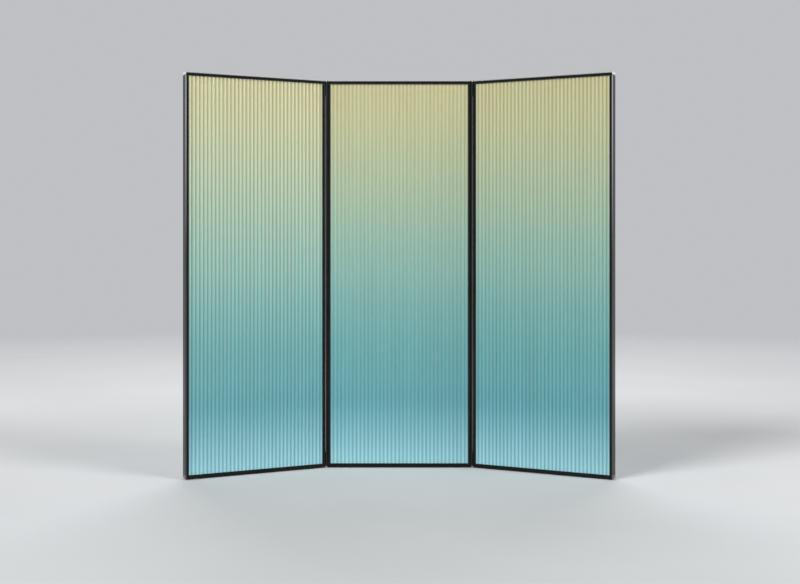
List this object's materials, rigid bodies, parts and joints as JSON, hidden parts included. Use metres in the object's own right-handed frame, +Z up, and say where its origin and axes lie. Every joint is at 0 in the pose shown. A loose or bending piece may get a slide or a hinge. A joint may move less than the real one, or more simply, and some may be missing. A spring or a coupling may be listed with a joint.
{
  "type": "folding glass partition",
  "caption": "Free-standing folding glass partition: slim black frames hold reeded, colour-graded panes, and double-action link hinges let the side leaves fold to the front or the back.",
  "frame": {"origin": "on the floor, under the middle of the standing screen's bounding box", "axes": "+X across the screen to the viewer's right, +Y from the front to the back, +Z up"},
  "size_m": [1.9158, 0.3413, 1.8],
  "materials": {
    "frame_black": "satin black anodised",
    "cap_polished": "polished",
    "hinge_black": "satin black",
    "pin_steel": "turned",
    "bush_bronze": "machined",
    "screw_black": "black oxide",
    "key_aluminium": "as cast",
    "glass_reeded": "polished, reeded outside",
    "film_graded": "translucent, graded from pale yellow down to pale blue",
    "gasket_rubber": "matte",
    "block_rubber": "matte",
    "glide_nylon": "matte"
  },
  "bodies": {
    "centre_panel": {"centre_top_rail": "frame_black", "centre_bottom_rail": "frame_black", "centre_rail_end_caps": "frame_black", "centre_corner_keys": "key_aluminium", "centre_corner_screws": "screw_black", "centre_front_pane": "glass_reeded", "centre_back_pane": "glass_reeded", "centre_front_film": "film_graded", "centre_back_film": "film_graded", "centre_gaskets": "gasket_rubber", "centre_setting_blocks": "block_rubber", "centre_glides": "glide_nylon", "centre_left_stile": "frame_black", "centre_right_stile": "frame_black", "centre_hinge_bushes": "bush_bronze", "centre_barrel_screws": "screw_black", "left_front_barrel": "hinge_black", "right_front_barrel": "hinge_black"},
    "left_links": {"left_top_link": "hinge_black", "left_bottom_link": "hinge_black", "left_hinge_pins": "pin_steel"},
    "left_panel": {"left_top_rail": "frame_black", "left_bottom_rail": "frame_black", "left_rail_end_caps": "cap_polished", "left_corner_keys": "key_aluminium", "left_corner_screws": "screw_black", "left_front_pane": "glass_reeded", "left_back_pane": "glass_reeded", "left_front_film": "film_graded", "left_back_film": "film_graded", "left_gaskets": "gasket_rubber", "left_setting_blocks": "block_rubber", "left_glides": "glide_nylon", "left_hinge_stile": "frame_black", "left_outer_stile": "frame_black", "left_hinge_bushes": "bush_bronze", "left_barrel_screws": "screw_black", "left_rear_barrel": "hinge_black"},
    "right_links": {"right_top_link": "hinge_black", "right_bottom_link": "hinge_black", "right_hinge_pins": "pin_steel"},
    "right_panel": {"right_top_rail": "frame_black", "right_bottom_rail": "frame_black", "right_rail_end_caps": "cap_polished", "right_corner_keys": "key_aluminium", "right_corner_screws": "screw_black", "right_front_pane": "glass_reeded", "right_back_pane": "glass_reeded", "right_front_film": "film_graded", "right_back_film": "film_graded", "right_gaskets": "gasket_rubber", "right_setting_blocks": "block_rubber", "right_glides": "glide_nylon", "right_hinge_stile": "frame_black", "right_outer_stile": "frame_black", "right_hinge_bushes": "bush_bronze", "right_barrel_screws": "screw_black", "right_rear_barrel": "hinge_black"}
  },
  "joints": [
    {"name": "left_front_fold", "type": "hinge", "parent": "centre_panel", "child": "left_links", "pos_m": [-0.338, 0.12373, 0.9], "axis": [0, 0, 1], "range_deg": [-26.3, 153.7]},
    {"name": "left_back_fold", "type": "hinge", "parent": "left_links", "child": "left_panel", "pos_m": [-0.35962, 0.16748, 0.9], "axis": [0, 0, -1], "range_deg": [0, 90]},
    {"name": "right_front_fold", "type": "hinge", "parent": "centre_panel", "child": "right_links", "pos_m": [0.338, 0.12373, 0.9], "axis": [0, 0, -1], "range_deg": [-26.3, 63.7]},
    {"name": "right_back_fold", "type": "hinge", "parent": "right_links", "child": "right_panel", "pos_m": [0.35962, 0.16748, 0.9], "axis": [0, 0, 1], "range_deg": [0, 180]}
  ]
}
